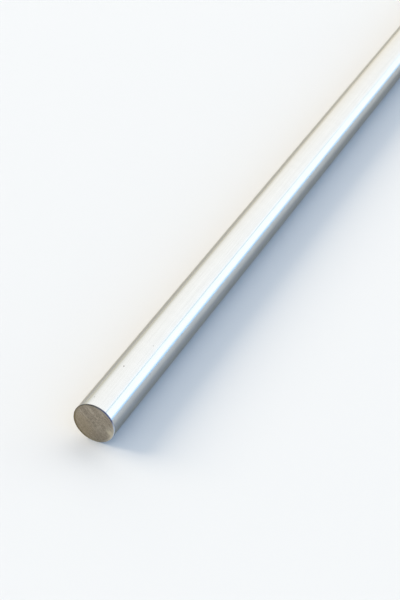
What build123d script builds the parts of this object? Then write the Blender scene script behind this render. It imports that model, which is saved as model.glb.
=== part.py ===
from build123d import *
import os

# Round metal bar: one length of solid bright drawn stock, sawn square at both ends.
# Millimetres, +Z up. The bar lies on its side along X, and the origin is the middle
# of the line on which it rests. The end at +X is the one that faces the viewer.

# Driving dimensions
BAR_DIAMETER = 12.7
BAR_LENGTH = 304.8
EDGE_BREAK = 0.15        # how far the filed bevel runs back from each sawn face
EDGE_BREAK_DEPTH = 0.12  # how far the same bevel reaches in from the drawn surface

bar_radius = BAR_DIAMETER / 2
half_length = BAR_LENGTH / 2


def half_profile():
    """Half of the lengthwise section: from the centre line out to the drawn surface."""
    face_rim = bar_radius - EDGE_BREAK_DEPTH
    wall_end = half_length - EDGE_BREAK
    outline = Polyline(
        (-half_length, 0),
        (-half_length, face_rim),
        (-wall_end, bar_radius),
        (wall_end, bar_radius),
        (half_length, face_rim),
        (half_length, 0),
        close=True,
    )
    return make_face(outline)


def round_bar():
    """The section turned once about the centre line, then lifted to lie on the floor."""
    turned = revolve(half_profile(), axis=Axis.X, revolution_arc=360)
    return Pos(0, 0, bar_radius) * turned


os.makedirs("parts", exist_ok=True)
export_step(round_bar(), "parts/round_bar.step")
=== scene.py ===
import math

import bpy
from mathutils import Matrix, Vector, noise


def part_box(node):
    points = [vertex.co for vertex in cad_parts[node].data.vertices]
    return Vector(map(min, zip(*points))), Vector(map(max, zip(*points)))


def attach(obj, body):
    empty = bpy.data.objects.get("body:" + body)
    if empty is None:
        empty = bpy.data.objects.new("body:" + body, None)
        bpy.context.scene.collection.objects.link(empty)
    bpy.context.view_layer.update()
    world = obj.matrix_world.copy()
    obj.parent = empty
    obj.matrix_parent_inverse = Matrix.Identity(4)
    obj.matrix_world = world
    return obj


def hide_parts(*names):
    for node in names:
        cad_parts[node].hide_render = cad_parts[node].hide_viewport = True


# A length of solid round bright steel bar, lying on a pale studio floor.
# Metres, in the frame's axes: the bar runs along X and rests on z = 0. The end at +X faces the camera.
# Angles round the bar run from +Y towards +Z.

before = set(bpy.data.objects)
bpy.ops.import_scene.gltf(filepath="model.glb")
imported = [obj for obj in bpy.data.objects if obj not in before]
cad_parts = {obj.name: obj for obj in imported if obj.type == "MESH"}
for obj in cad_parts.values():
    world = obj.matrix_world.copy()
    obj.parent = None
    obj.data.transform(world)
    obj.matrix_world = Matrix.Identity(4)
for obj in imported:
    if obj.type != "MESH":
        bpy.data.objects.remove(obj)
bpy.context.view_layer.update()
low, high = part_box("round_bar")

MM = 0.001
RADIUS = (high.y - low.y) / 2
HALF_LENGTH = (high.x - low.x) / 2
AXIS_Z = RADIUS

# How finely the bar is divided
SEGMENTS = 240
ANGLES = [2 * math.pi * k / SEGMENTS for k in range(SEGMENTS)]
FACE_RINGS = 56
WALL_RINGS = 48
SOFTENING_STEPS = 4

# The broken edge round each sawn end
EDGE_BREAK = 0.15 * MM        # how far the bevel runs back along the bar
EDGE_BREAK_DEPTH = 0.12 * MM  # how far it reaches in from the drawn surface
EDGE_SOFTENING = 0.03 * MM    # rounding where the bevel meets the face and the wall
FILED_REACH = 0.40 * MM       # the file has scuffed the drawn surface this far back from the face; the edge's painted light and shade reaches this far with the scuffs

# The bevel is filed by hand: its width round the bar, as a share of the above
FILED_LEAST = 0.3
FILED_MOST = 1.2
FILED_MOST_AT = math.radians(75)
FILED_UNEVENNESS = 0.4
FILED_CHANGE = 2              # how quickly the width varies round the bar
FILED_SEED_STEP = 10          # keeps the two ends' noise apart

# The saw's marks on the ends
SAW_PITCH = 1.25 * MM
SAW_DEPTH = 0.02 * MM
SAW_STROKE_SHARE = 0.6        # the rest of the depth is fine scratches
SAW_SCRATCH = 0.22 * MM       # a scratch's width
SAW_SCRATCH_CHANGE = 120      # how quickly a scratch varies along its length, per metre
SAW_WANDER = 0.25             # how far a mark strays from a straight line, in pitches
SAW_WANDER_CHANGE = 400       # how quickly it strays, per metre
SAW_FADE = 0.25 * MM          # the relief dies out over this width at the rim
SAW_SLOPE = math.radians(-48)

# Seeds of the noise on the end by the camera and on the far end
NEAR_SEED = 1
FAR_SEED = 2

# The bar's surfaces, by material index
SAWN, FILED, DRAWN = 0, 1, 2


# Geometry

def bevel_outline():
    """Points (distance back from the face, radius) over the filed edge, from face to drawn surface."""
    face_corner = Vector((0, RADIUS - EDGE_BREAK_DEPTH))
    wall_corner = Vector((EDGE_BREAK, RADIUS))
    outward = Vector((0, 1))
    backward = Vector((1, 0))
    slant = (wall_corner - face_corner).normalized()
    turns = (
        (face_corner, outward, slant),
        (wall_corner, slant, backward),
    )
    points = []
    for corner, arriving, leaving in turns:
        start = corner - EDGE_SOFTENING * arriving
        end = corner + EDGE_SOFTENING * leaving
        for step in range(SOFTENING_STEPS + 1):
            t = step / SOFTENING_STEPS
            points.append((1 - t) ** 2 * start + 2 * t * (1 - t) * corner + t ** 2 * end)
    points.append(Vector((FILED_REACH, RADIUS)))
    return points


def saw_relief(across, up, seed):
    """Depth of the saw's marks at a point of an end face, in metres from its centre."""
    offset = up * math.cos(SAW_SLOPE) - across * math.sin(SAW_SLOPE)
    wander = SAW_WANDER * noise.noise(Vector((across, up, seed * MM)) * SAW_WANDER_CHANGE)
    stroke = 0.5 + 0.5 * math.sin(2 * math.pi * (offset / SAW_PITCH + wander + seed))
    scratch = 0.5 + 0.5 * noise.noise(Vector((offset / SAW_SCRATCH, seed, across * SAW_SCRATCH_CHANGE)))
    return SAW_DEPTH * (SAW_STROKE_SHARE * stroke + (1 - SAW_STROKE_SHARE) * scratch)


def filing(angle, seed):
    """The bevel's width at an angle round the bar, as a share of its usual width."""
    turn = 0.5 + 0.5 * math.cos(angle - FILED_MOST_AT)
    place = Vector((FILED_CHANGE * math.cos(angle), FILED_CHANGE * math.sin(angle), FILED_SEED_STEP * seed))
    share = max(0, min(1, turn + FILED_UNEVENNESS * noise.noise(place)))
    return FILED_LEAST + (FILED_MOST - FILED_LEAST) * share


def face_ring(end, share, seed):
    """A ring of the sawn face, at a share of the way from its middle to its rim."""
    points = []
    for angle in ANGLES:
        rim = RADIUS - filing(angle, seed) * (EDGE_BREAK_DEPTH + EDGE_SOFTENING)
        radius = share * rim
        across = radius * math.cos(angle)
        up = radius * math.sin(angle)
        fade = min(1, (rim - radius) / SAW_FADE)
        depth = fade * saw_relief(across, up, seed)
        points.append((end * (HALF_LENGTH - depth), across, AXIS_Z + up))
    return points


def bevel_ring(end, back, radius, seed):
    """A ring of the filed edge, given where it would lie on a bevel of the usual width."""
    points = []
    for angle in ANGLES:
        width = filing(angle, seed)
        x = end * (HALF_LENGTH - width * back)
        r = RADIUS - width * (RADIUS - radius)
        points.append((x, r * math.cos(angle), AXIS_Z + r * math.sin(angle)))
    return points


def wall_ring(x):
    """A ring of the drawn surface."""
    return [(x, RADIUS * math.cos(angle), AXIS_Z + RADIUS * math.sin(angle)) for angle in ANGLES]


def end_rings(end, seed):
    """Rings of one end, from the face's middle out to the wall, each with the surface it begins."""
    rings = []
    for k in range(1, FACE_RINGS + 1):
        rings.append((SAWN, face_ring(end, k / FACE_RINGS, seed)))
    for back, radius in bevel_outline()[1:]:
        rings.append((FILED, bevel_ring(end, back, radius, seed)))
    # the sawn surface reaches half way over its rounded corner
    for k in range(FACE_RINGS, FACE_RINGS + SOFTENING_STEPS // 2):
        rings[k] = (SAWN, rings[k][1])
    # the drawn surface starts where the file's scuffs, and the edge's painted light and shade, end
    rings[-1] = (DRAWN, rings[-1][1])
    return rings


def make_bar():
    """The bar as one closed skin: sawn face, filed edge, drawn wall, filed edge, sawn face."""
    near = end_rings(1, NEAR_SEED)
    far = end_rings(-1, FAR_SEED)
    wall = []
    for k in range(1, WALL_RINGS):
        wall.append((DRAWN, wall_ring(HALF_LENGTH * (1 - 2 * k / WALL_RINGS))))
    surfaces = [surface for surface, ring in near + wall]
    surfaces += [surface for surface, ring in reversed(far)][1:]
    rings = [ring for surface, ring in near + wall + far[::-1]]

    vertices = [point for ring in rings for point in ring]
    faces = []
    materials = []
    for r in range(len(rings) - 1):
        surface = surfaces[r]
        for k in range(SEGMENTS):
            a = r * SEGMENTS + k
            b = r * SEGMENTS + (k + 1) % SEGMENTS
            faces.append((a, a + SEGMENTS, b + SEGMENTS, b))
            materials.append(surface)
    # a fan of triangles closes the middle of each face
    for end, seed, first in ((1, NEAR_SEED, 0), (-1, FAR_SEED, (len(rings) - 1) * SEGMENTS)):
        centre = len(vertices)
        vertices.append((end * (HALF_LENGTH - saw_relief(0, 0, seed)), 0, AXIS_Z))
        for k in range(SEGMENTS):
            a = first + k
            b = first + (k + 1) % SEGMENTS
            faces.append((centre, a, b) if end > 0 else (centre, b, a))
            materials.append(SAWN)

    mesh = bpy.data.meshes.new("bright_bar")
    mesh.from_pydata(vertices, [], faces)
    mesh.polygons.foreach_set("material_index", materials)
    mesh.polygons.foreach_set("use_smooth", [True] * len(faces))
    mesh.update()
    bar = bpy.data.objects.new("bright_bar", mesh)
    bpy.context.scene.collection.objects.link(bar)
    return bar


# Materials

class Nodes:
    """The node tree of a material or a world, with short calls for the nodes used here."""

    def __init__(self, owner, shader):
        owner.use_nodes = True
        self.owner = owner
        self.tree = owner.node_tree
        self.shader = self.tree.nodes[shader]

    def add(self, kind, **settings):
        node = self.tree.nodes.new(kind)
        for key, value in settings.items():
            setattr(node, key, value)
        return node

    def feed(self, socket, value):
        """Link a socket, or set it where the value is a plain number or colour."""
        if isinstance(value, bpy.types.NodeSocket):
            self.tree.links.new(value, socket)
        elif socket.type == "RGBA":
            socket.default_value = (*value, 1)
        else:
            socket.default_value = value

    def set(self, name, value):
        self.feed(self.shader.inputs[name], value)

    def math(self, operation, *values):
        node = self.add("ShaderNodeMath", operation=operation)
        for socket, value in zip(node.inputs, values):
            self.feed(socket, value)
        return node.outputs[0]

    def vector(self, operation, *values):
        node = self.add("ShaderNodeVectorMath", operation=operation)
        for socket, value in zip(node.inputs, values):
            self.feed(socket, value)
        return node.outputs["Value" if operation in ("DISTANCE", "LENGTH") else "Vector"]

    def split(self, vector):
        node = self.add("ShaderNodeSeparateXYZ")
        self.feed(node.inputs[0], vector)
        return node.outputs["X"], node.outputs["Y"], node.outputs["Z"]

    def place(self):
        return self.add("ShaderNodeTexCoord").outputs["Object"]

    def turned(self, place, angle):
        """The place turned about the bar's axis."""
        node = self.add("ShaderNodeVectorRotate", rotation_type="X_AXIS")
        self.feed(node.inputs["Vector"], place)
        node.inputs["Angle"].default_value = angle
        return node.outputs[0]

    def noise(self, place, scale, detail=2.0, roughness=0.5):
        node = self.add("ShaderNodeTexNoise")
        node.inputs["Scale"].default_value = 1.0
        node.inputs["Detail"].default_value = detail
        node.inputs["Roughness"].default_value = roughness
        self.feed(node.inputs["Vector"], self.vector("MULTIPLY", place, scale))
        return node.outputs["Fac"]

    def wander(self, place, scale):
        """A vector that drifts from place to place, each part between -0.5 and 0.5."""
        node = self.add("ShaderNodeTexNoise")
        node.inputs["Scale"].default_value = 1.0
        self.feed(node.inputs["Vector"], self.vector("MULTIPLY", place, scale))
        return self.vector("SUBTRACT", node.outputs["Color"], (0.5, 0.5, 0.5))

    def spread(self, value, low_in, high_in, low_out=0.0, high_out=1.0, smooth=False):
        """The value carried over from one range to another, and held at its ends."""
        kind = "SMOOTHSTEP" if smooth else "LINEAR"
        node = self.add("ShaderNodeMapRange", interpolation_type=kind)
        for name, number in (("Value", value), ("From Min", low_in), ("From Max", high_in),
                             ("To Min", low_out), ("To Max", high_out)):
            self.feed(node.inputs[name], number)
        return node.outputs["Result"]

    def tint(self, factor, first, second):
        node = self.add("ShaderNodeMix", data_type="RGBA")
        self.feed(node.inputs["Factor"], factor)
        self.feed(node.inputs["A"], first)
        self.feed(node.inputs["B"], second)
        return node.outputs["Result"]

    def ramp(self, value, stops):
        """A row of colours along a value, each stop a place from 0 to 1 and a colour."""
        node = self.add("ShaderNodeValToRGB")
        self.feed(node.inputs[0], value)
        elements = node.color_ramp.elements
        while len(elements) < len(stops):
            elements.new(1.0)
        for element, (place, colour) in zip(elements, stops):
            element.position = place
            element.color = (*colour, 1)
        return node.outputs["Color"]

    def by_angle(self, place, tones):
        """Colours by the angle round the bar, in degrees from -180 to 180."""
        along, side, up = self.split(place)
        turn = self.math("DIVIDE", self.math("ARCTAN2", up, side), 2 * math.pi)
        stops = [((degrees + 180) / 360, colour) for degrees, colour in tones]
        return self.ramp(self.math("ADD", turn, 0.5), stops)

    def bump(self, height, distance, strength):
        node = self.add("ShaderNodeBump")
        node.inputs["Distance"].default_value = distance
        node.inputs["Strength"].default_value = strength
        self.feed(node.inputs["Height"], height)
        return node.outputs["Normal"]


# In this range lie nearly all of a noise's values
NOISE_RANGE = (0.3, 0.7)

# The drawn skin: its shades, and its tint at a grazing angle
SKIN_DARK = (0.41, 0.43, 0.451)
SKIN_PALE = (0.447, 0.468, 0.49)
SKIN_GRAZING = (0.78, 0.72, 0.61)
SKIN_GRAIN = (40, 4500, 4500)       # scales along, across and up, per metre
SKIN_RIPPLE = (420, 90, 90)
SKIN_GRAIN_SHARE = 0.75             # the rest of the shade is ripple
SKIN_ROUGHNESS = (0.11, 0.15)
SKIN_BUMP = 0.0012 * MM
SKIN_BUMP_STRENGTH = 0.5

# Its pits: distance back from the near face, angle in degrees, radius
PITS = (
    (18.6 * MM, 95, 0.28 * MM),
    (3.7 * MM, 104, 0.17 * MM),
    (30.6 * MM, 68, 0.15 * MM),
)
PIT_COLOUR = (0.11, 0.105, 0.095)
PIT_CORE = 0.4                      # a pit is at its darkest within this share of its radius

# The filed edge: its grain, and its tones by the angle round the bar in degrees, which are painted light
# and shade: painted reflections where it is bright, painted shade where it is dark
EDGE_GRAIN = (3000, 3000, 3000)
EDGE_GRAIN_COLOUR = (0.5, 0.5, 0.5)
EDGE_GRAIN_STRENGTH = 0.04
EDGE_ROUGHNESS = (0.25, 0.35)
EDGE_PAINTED_LIGHT_AND_SHADE = (
    (-180, (0.20, 0.18, 0.145)),
    (-150, (0.25, 0.23, 0.19)),
    (-66, (0.25, 0.24, 0.23)),
    (-56, (0.75, 0.74, 0.72)),      # painted reflection, bright from here
    (-10, (0.80, 0.85, 0.92)),
    (8, (0.62, 0.68, 0.78)),
    (26, (0.09, 0.095, 0.17)),      # painted reflection, dark and bluish
    (58, (0.09, 0.095, 0.15)),
    (80, (0.12, 0.12, 0.12)),
    (95, (0.035, 0.036, 0.037)),    # painted shade, darkest on top
    (128, (0.026, 0.027, 0.028)),
    (140, (0.045, 0.04, 0.035)),
    (165, (0.15, 0.14, 0.12)),
    (180, (0.20, 0.18, 0.145)),
)

# The sawn faces' shades and their pattern. Its scales are per radius of the bar: along the bar, along
# the saw's marks and across them. The shares add up to one.
SAWN_DARK = (0.175, 0.144, 0.107)
SAWN_PALE = (0.475, 0.42, 0.337)
SAWN_NOISE_RANGE = (0.35, 0.65)
STREAKS = (3, 0.7, 18)
STREAKS_SHARE = 0.47
GRAIN = (3, 10, 26)
GRAIN_SHARE = 0.45
BLOTCHES = (3, 3, 5)
BLOTCHES_SHARE = 0.08
SAWN_ROUGHNESS = (0.42, 0.52)

# Their stains and painted highlights: place across and up, length along the saw's marks and width, all in
# radii of the bar,
# then strength and colour
STAINS_AND_PAINTED_HIGHLIGHTS = (
    (-0.72, -0.22, 1.10, 0.80, 0.3, (0.30, 0.23, 0.125)),   # browner towards one side
    (0.06, -0.04, 0.15, 0.12, 0.4, (0.17, 0.15, 0.11)),     # smudge by the middle
    (0.46, -0.53, 0.46, 0.24, 0.22, (0.17, 0.145, 0.11)),   # scorched where the saw came out
    (0.86, -0.12, 0.42, 0.34, 0.4, (0.50, 0.45, 0.37)),     # this row and the next: a painted highlight beside it, where the saw's exit burr catches the light
    (0.84, -0.31, 0.33, 0.22, 0.85, (0.60, 0.54, 0.41)),
)
MARK_CORE = 0.35                   # each stain and painted highlight is at full strength within this share of its size
RAGGED_CHANGE = (4, 4, 9)           # scales of the unevenness of their outlines
RAGGED_REACH = (0, 0.25, 0.25)

# The tones of a sawn face's rim, by the angle round the bar in degrees, and the shares of the radius
# between which they take over
RIM_BLEND = (0.86, 0.96)
# Partly soiling, partly painted light and shade: brightest near -30 degrees, a painted highlight
RIM_SOIL_AND_PAINTED_LIGHT = (
    (-180, (0.17, 0.135, 0.075)),
    (-120, (0.17, 0.135, 0.075)),
    (-100, (0.34, 0.30, 0.22)),
    (-66, (0.33, 0.29, 0.22)),
    (-58, (0.38, 0.35, 0.30)),
    (-30, (0.61, 0.555, 0.45)),
    (0, (0.44, 0.40, 0.33)),
    (25, (0.30, 0.26, 0.21)),
    (60, (0.33, 0.29, 0.235)),
    (90, (0.27, 0.24, 0.185)),
    (110, (0.29, 0.255, 0.195)),
    (150, (0.24, 0.205, 0.14)),
    (165, (0.19, 0.155, 0.095)),
    (180, (0.17, 0.135, 0.075)),
)


def metal(name):
    m = Nodes(bpy.data.materials.new(name), "Principled BSDF")
    m.set("Metallic", 1.0)
    return m


def drawn_skin():
    """Bright drawn surface: fine grain along the bar, faint ripples across it, and a few tiny pits."""
    m = metal("drawn_skin")
    m.set("Specular Tint", SKIN_GRAZING)
    place = m.place()
    grain = m.noise(place, SKIN_GRAIN, detail=3)
    ripple = m.noise(place, SKIN_RIPPLE, detail=3)
    from_grain = m.spread(grain, *NOISE_RANGE, 0, SKIN_GRAIN_SHARE)
    from_ripple = m.spread(ripple, *NOISE_RANGE, 0, 1 - SKIN_GRAIN_SHARE)
    colour = m.tint(m.math("ADD", from_grain, from_ripple), SKIN_DARK, SKIN_PALE)
    for back, angle, size in PITS:
        across = RADIUS * math.cos(math.radians(angle))
        up = RADIUS * math.sin(math.radians(angle))
        away = m.vector("DISTANCE", place, (HALF_LENGTH - back, across, AXIS_Z + up))
        colour = m.tint(m.spread(away, PIT_CORE * size, size, 1, 0), colour, PIT_COLOUR)
    m.set("Base Color", colour)
    m.set("Roughness", m.spread(grain, *NOISE_RANGE, *SKIN_ROUGHNESS))
    m.set("Normal", m.bump(grain, SKIN_BUMP, SKIN_BUMP_STRENGTH))
    return m.owner


def filed_edge():
    """The bevel that a file leaves, its tone changing round the bar as painted light and shade."""
    m = metal("filed_edge")
    place = m.vector("SUBTRACT", m.place(), (0, 0, AXIS_Z))
    grain = m.noise(place, EDGE_GRAIN)
    # painted light and shade by the angle round the bar
    tone = m.by_angle(place, EDGE_PAINTED_LIGHT_AND_SHADE)
    speckle = m.spread(grain, *NOISE_RANGE, 0, EDGE_GRAIN_STRENGTH)
    m.set("Base Color", m.tint(speckle, tone, EDGE_GRAIN_COLOUR))
    m.set("Roughness", m.spread(grain, *NOISE_RANGE, *EDGE_ROUGHNESS))
    return m.owner


def sawn_face():
    """Bare sawn metal: warm grey, streaked along the saw's marks and stained; its rim toned by the angle
    round the bar, partly soiling and partly painted light and shade, with a painted highlight near the rim
    where the saw came out.
    """
    m = metal("sawn_face")
    place = m.vector("MULTIPLY", m.vector("SUBTRACT", m.place(), (0, 0, AXIS_Z)), (1 / RADIUS,) * 3)
    marks = m.turned(place, -SAW_SLOPE)  # here Y runs along the saw's marks and Z across them
    streaks = m.noise(marks, STREAKS, detail=4, roughness=0.65)
    grain = m.noise(marks, GRAIN, detail=2)
    blotches = m.noise(marks, BLOTCHES, detail=3)
    from_streaks = m.spread(streaks, *SAWN_NOISE_RANGE, 0, STREAKS_SHARE)
    from_blotches = m.spread(blotches, *SAWN_NOISE_RANGE, 0, BLOTCHES_SHARE)
    from_grain = m.spread(grain, *SAWN_NOISE_RANGE, 0, GRAIN_SHARE)
    tone = m.math("ADD", m.math("ADD", from_streaks, from_blotches), from_grain)
    colour = m.tint(tone, SAWN_DARK, SAWN_PALE)

    drift = m.vector("MULTIPLY", m.wander(marks, RAGGED_CHANGE), RAGGED_REACH)
    ragged = m.turned(m.vector("ADD", place, drift), -SAW_SLOPE)
    for across, up, length, width, strength, mark_colour in STAINS_AND_PAINTED_HIGHLIGHTS:
        centre = Vector((across, up)) @ Matrix.Rotation(SAW_SLOPE, 2)
        squeezed = m.vector("MULTIPLY", ragged, (0, 1 / length, 1 / width))
        away = m.vector("DISTANCE", squeezed, (0, centre.x / length, centre.y / width))
        colour = m.tint(m.spread(away, MARK_CORE, 1, strength, 0, smooth=True), colour, mark_colour)

    from_middle = m.vector("LENGTH", m.vector("MULTIPLY", place, (0, 1, 1)))
    at_rim = m.spread(from_middle, *RIM_BLEND, smooth=True)
    # the rim's tones: partly soiling, partly painted light and shade
    colour = m.tint(at_rim, colour, m.by_angle(place, RIM_SOIL_AND_PAINTED_LIGHT))
    m.set("Base Color", colour)
    m.set("Roughness", m.spread(tone, 0, 1, *SAWN_ROUGHNESS))
    return m.owner


# Stage

FLOOR_REACH = 30.0
FLOOR_COLOUR = (0.755, 0.77, 0.785)
FLOOR_ROUGHNESS = 0.3
FLOOR_GLOSS = 0.02


def make_floor():
    mesh = bpy.data.meshes.new("floor")
    corners = [(x * FLOOR_REACH, y * FLOOR_REACH, 0) for x, y in ((-1, -1), (1, -1), (1, 1), (-1, 1))]
    mesh.from_pydata(corners, [], [(0, 1, 2, 3)])
    floor = bpy.data.objects.new("floor", mesh)
    bpy.context.scene.collection.objects.link(floor)
    m = Nodes(bpy.data.materials.new("floor_paint"), "Principled BSDF")
    m.set("Base Color", FLOOR_COLOUR)
    m.set("Roughness", FLOOR_ROUGHNESS)
    m.set("Specular IOR Level", FLOOR_GLOSS)
    mesh.materials.append(m.owner)


# The studio round the bar. Its colours are radiances, so 1 is a plain white. Height is the angle above
# the floor about the bar's axis, in degrees: 0 is the horizon on the +Y side, 90 is overhead, and 180 is
# the horizon on the -Y side.

# Beyond the bar's far end: what its skin mirrors towards the camera
BEYOND_BAR = (
    (0, (0.50, 1.40, 2.39)),     # daylight, fading towards the floor
    (4, (1.25, 1.80, 2.39)),
    (9, (1.95, 2.18, 2.39)),
    (16, (2.31, 2.40, 2.39)),    # the window
    (44, (2.20, 2.35, 2.30)),
    (50, (2.20, 2.22, 2.21)),    # the canopy's bright hem
    (54, (2.18, 2.19, 2.16)),
    (60, (2.11, 2.06, 1.97)),    # the white canopy
    (100, (2.13, 2.06, 1.94)),
    (125, (2.09, 2.02, 1.89)),
    (152, (2.05, 1.98, 1.85)),
    (163, (1.79, 1.76, 1.64)),   # the wall, warm and duller downwards
    (173, (1.46, 1.40, 1.21)),
    (180, (1.32, 1.28, 1.10)),
)

# Beside and over the bar
OVER_BAR = (
    (0, (0.84, 0.90, 0.95)),
    (12, (0.80, 0.90, 1.00)),
    (22, (0.32, 0.73, 1.43)),    # blue daylight from the side
    (50, (0.27, 0.54, 0.97)),
    (65, (0.29, 0.34, 0.43)),    # the unlit ceiling
    (130, (0.30, 0.32, 0.34)),
    (160, (0.59, 0.61, 0.57)),
    (180, (0.79, 0.84, 0.84)),
)

# On the camera's side, in front of the near end: what the sawn face is lit by
ROUND_CAMERA = (
    (0, (0.80, 0.91, 1.01)),
    (15, (0.98, 1.20, 1.40)),
    (40, (1.03, 1.24, 1.40)),
    (55, (0.72, 0.82, 0.92)),
    (75, (1.08, 1.20, 1.24)),
    (140, (0.99, 1.06, 1.06)),
    (165, (0.77, 0.80, 0.78)),
    (180, (0.83, 0.88, 0.88)),
)
STUDIO_END = (0.92, 0.94, 0.96)  # what closes the studio at both ends of the bar's axis

# Where the parts of the studio meet, as the direction's share along the bar's axis
BEYOND_STARTS = (-0.44, -0.58)
CAMERA_SIDE_STARTS = (0.35, 0.60)
END_STARTS = (0.86, 0.95)

# The gap between window and canopy, narrow and darker, and fainter away from the camera
GAP_HEIGHT = 47
GAP_WIDTH = 5
GAP_SOFTNESS = 1
GAP_COLOUR = (1.36, 1.66, 1.78)
GAP_FAINT_AT = -0.83
GAP_PLAIN_AT = -0.73
GAP_LEAST = 0.4

# The wall on the -Y side isn't quite in line with the bar: its shades drop as they near the camera
WALL_SKEW = 0.4
WALL_LEVEL_AT = -0.77
WALL_STARTS = (0.70, 0.85)       # in half turns of height

# The one lamp: large and soft, low on the -Y side
KEY_COLOUR = (1.0, 0.84, 0.64)
KEY_STRENGTH = 2.6
KEY_HEIGHT = math.radians(32)
KEY_WIDTH = math.radians(34)


def make_world():
    m = Nodes(bpy.data.worlds.new("studio"), "Background")
    bpy.context.scene.world = m.owner
    # the colours are written as shares of the brightest, whose level the strength restores
    brightest = max(max(colour) for height, colour in BEYOND_BAR)
    along, side, up = m.split(m.add("ShaderNodeTexCoord").outputs["Generated"])
    height = m.math("DIVIDE", m.math("ARCTAN2", up, side), math.pi)

    def share(colour):
        return [part / brightest for part in colour]

    def bands(height, colours):
        return m.ramp(height, [(degrees / 180, share(colour)) for degrees, colour in colours])

    skew = m.math("MULTIPLY", m.math("SUBTRACT", along, WALL_LEVEL_AT), WALL_SKEW)
    skew = m.math("MULTIPLY", skew, m.spread(height, *WALL_STARTS, smooth=True))

    from_gap = m.math("ABSOLUTE", m.math("SUBTRACT", height, GAP_HEIGHT / 180))
    gap_core = (GAP_WIDTH - GAP_SOFTNESS) / 2
    gap_reach = (GAP_WIDTH + GAP_SOFTNESS) / 2
    gap = m.spread(from_gap, gap_core / 180, gap_reach / 180, 1, 0)
    gap = m.math("MULTIPLY", gap, m.spread(along, GAP_FAINT_AT, GAP_PLAIN_AT, GAP_LEAST, 1))

    beyond = bands(m.math("ADD", height, skew), BEYOND_BAR)
    beyond = m.tint(gap, beyond, share(GAP_COLOUR))
    studio = bands(height, OVER_BAR)
    studio = m.tint(m.spread(along, *BEYOND_STARTS, smooth=True), studio, beyond)
    camera_side = m.spread(along, *CAMERA_SIDE_STARTS, smooth=True)
    studio = m.tint(camera_side, studio, bands(height, ROUND_CAMERA))
    at_ends = m.spread(m.math("ABSOLUTE", along), *END_STARTS, smooth=True)
    studio = m.tint(at_ends, studio, share(STUDIO_END))
    m.set("Color", studio)
    m.set("Strength", brightest)


def make_key_light():
    data = bpy.data.lights.new("key", "SUN")
    data.color = KEY_COLOUR
    data.energy = KEY_STRENGTH
    data.angle = KEY_WIDTH
    key = bpy.data.objects.new("key", data)
    key.rotation_euler = (math.pi / 2 - KEY_HEIGHT, 0, 0)
    bpy.context.scene.collection.objects.link(key)


# Camera: placed from the near end's centre, so the bar's outline falls as in the photograph
CAMERA_DISTANCE = 67.08 * RADIUS      # from the camera plane to the near end's centre
CAMERA_RIGHT = 4.558 * RADIUS         # how far the near end's centre lies left of the camera's line
CAMERA_UP = 5.299 * RADIUS            # how far it lies below that line
CAMERA_DIP = math.radians(37.21)
CAMERA_TURN = math.radians(26.34)     # between the camera's heading and the bar's axis
CAMERA_LENS = 93.95
CAMERA_SENSOR = 36


def make_camera():
    heading = Vector((-math.cos(CAMERA_TURN), -math.sin(CAMERA_TURN), 0))
    right = Vector((heading.y, -heading.x, 0))
    forward = heading * math.cos(CAMERA_DIP) - Vector((0, 0, 1)) * math.sin(CAMERA_DIP)
    up = right.cross(forward)
    target = Vector((HALF_LENGTH, 0, AXIS_Z))
    data = bpy.data.cameras.new("camera")
    data.lens = CAMERA_LENS
    data.sensor_width = CAMERA_SENSOR
    camera = bpy.data.objects.new("camera", data)
    camera.location = target + right * CAMERA_RIGHT + up * CAMERA_UP - forward * CAMERA_DISTANCE
    camera.rotation_mode = "QUATERNION"
    camera.rotation_quaternion = forward.to_track_quat("-Z", "Y")
    bpy.context.scene.collection.objects.link(camera)
    bpy.context.scene.camera = camera


bar = make_bar()
for material in (sawn_face(), filed_edge(), drawn_skin()):
    bar.data.materials.append(material)
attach(bar, "root")
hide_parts("round_bar")

make_floor()
make_world()
make_key_light()
make_camera()

view_settings = bpy.context.scene.view_settings
view_settings.view_transform = "Standard"
